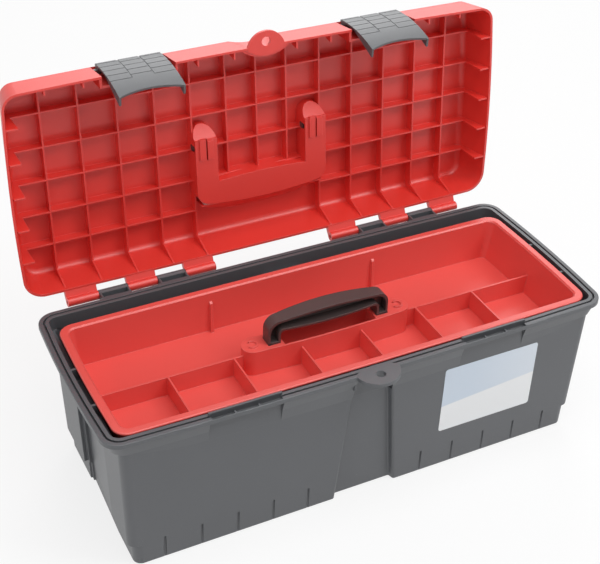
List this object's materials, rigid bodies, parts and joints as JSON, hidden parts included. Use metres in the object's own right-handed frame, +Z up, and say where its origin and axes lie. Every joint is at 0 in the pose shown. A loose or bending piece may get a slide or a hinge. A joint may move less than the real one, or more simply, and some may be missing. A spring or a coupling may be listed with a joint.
{
  "type": "toolbox with tray",
  "caption": "Moulded toolbox with a hinged ribbed lid, draw-down latches, a folding carrying handle and a lift-out tray with compartments.",
  "frame": {"origin": "centre of the tub's underside", "axes": "+X along the length, +Y from the latch side to the hinge side, +Z up"},
  "size_m": [0.5656, 0.3282, 0.4209],
  "materials": {
    "grey_plastic": "satin",
    "red_plastic": "satin",
    "tray_plastic": "satin",
    "black_plastic": "satin",
    "latch_plastic": "matte",
    "steel": "plain",
    "label_paper": "satin"
  },
  "bodies": {
    "root": {"tub": "grey_plastic", "label": "label_paper", "hinge_rod_left": "steel", "hinge_rod_right": "steel"},
    "lid_body": {"lid": "red_plastic"},
    "handle_body": {"lid_handle": "black_plastic"},
    "pin_left_body": {"latch_pin_left": "steel"},
    "pin_right_body": {"latch_pin_right": "steel"},
    "latch_left_body": {"latch_left": "latch_plastic"},
    "latch_right_body": {"latch_right": "latch_plastic"},
    "tray_body": {"tray": "tray_plastic", "tray_handle": "black_plastic"}
  },
  "joints": [
    {"name": "lid_hinge", "type": "hinge", "parent": "root", "child": "lid_body", "pos_m": [0, 0.1275, 0.1645], "axis": [-1, 0, 0], "range_deg": [-94.4, 0]},
    {"name": "latch_left_turn", "type": "hinge", "parent": "lid_body", "child": "pin_left_body", "pos_m": [-0.1392, 0.18095, 0.39638], "axis": [-1, 0, 0], "range_deg": [-9.2, 100]},
    {"name": "latch_right_turn", "type": "hinge", "parent": "lid_body", "child": "pin_right_body", "pos_m": [0.1392, 0.18095, 0.39638], "axis": [-1, 0, 0], "range_deg": [-9.2, 100]},
    {"name": "latch_left_follow", "type": "hinge", "parent": "pin_left_body", "child": "latch_left_body", "pos_m": [-0.1392, 0.18095, 0.39638], "axis": [-1, 0, 0], "range_deg": [0, 20]},
    {"name": "latch_right_follow", "type": "hinge", "parent": "pin_right_body", "child": "latch_right_body", "pos_m": [0.1392, 0.18095, 0.39638], "axis": [-1, 0, 0], "range_deg": [0, 20]},
    {"name": "lid_handle_fold", "type": "hinge", "parent": "lid_body", "child": "handle_body", "pos_m": [0, 0.17087, 0.29155], "axis": [1, 0, 0], "range_deg": [-4.4, 85.6]},
    {"name": "tray_lift", "type": "slide", "parent": "root", "child": "tray_body", "axis": [0, 0, 1], "range_m": [0, 0.2]}
  ],
  "couplings": [
    {"joint": "latch_left_follow", "follows": "lid_hinge", "ratio": -0.21186},
    {"joint": "latch_right_follow", "follows": "lid_hinge", "ratio": -0.21186}
  ]
}
